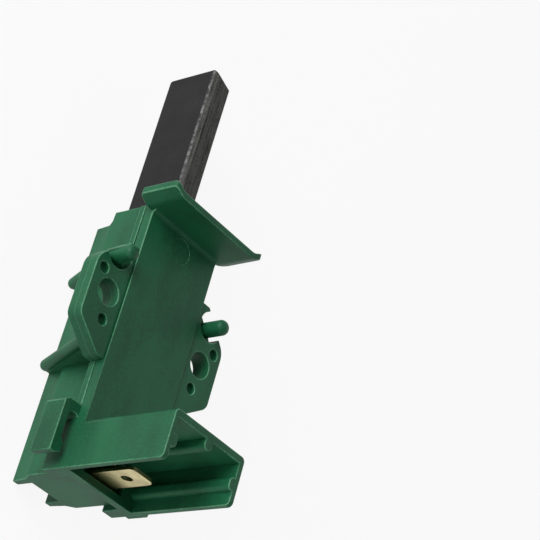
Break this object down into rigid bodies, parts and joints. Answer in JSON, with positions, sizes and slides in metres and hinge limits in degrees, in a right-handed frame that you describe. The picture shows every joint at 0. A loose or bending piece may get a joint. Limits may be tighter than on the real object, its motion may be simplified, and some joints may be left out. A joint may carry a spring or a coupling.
{
  "type": "carbon brush",
  "caption": "Carbon brush for a small commutator motor, sliding in a moulded two-piece holder with hooded blade terminal, screw ears and locating pegs.",
  "frame": {"origin": "midway between the two screw holes, on the face of the ears that meets the motor", "axes": "+Z out of the screw face, on the side of the hood and pegs; +Y along the carbon towards its tip; +X across the holder"},
  "size_m": [0.0382, 0.0973, 0.0437],
  "materials": {
    "housing": "moulded green plastic, satin",
    "cover": "moulded green plastic, satin",
    "guide": "folded brass sheet",
    "terminal": "stamped brass, pale",
    "carbon": "pressed carbon graphite, matte",
    "spring": "spring steel wire",
    "lead": "stranded copper"
  },
  "bodies": {
    "holder": {"rear_housing": "housing", "front_cover": "cover", "brush_guide": "guide", "terminal_tab": "terminal", "pressure_spring": "spring", "shunt_wire": "lead"},
    "brush": {"carbon_block": "carbon"}
  },
  "joints": [
    {"name": "carbon_slide", "type": "slide", "parent": "holder", "child": "brush", "axis": [0, 1, 0], "range_m": [-0.034, 0], "stiffness_N_per_m": 80, "springref_m": 0.02, "deforming": ["pressure_spring", "shunt_wire"]}
  ]
}
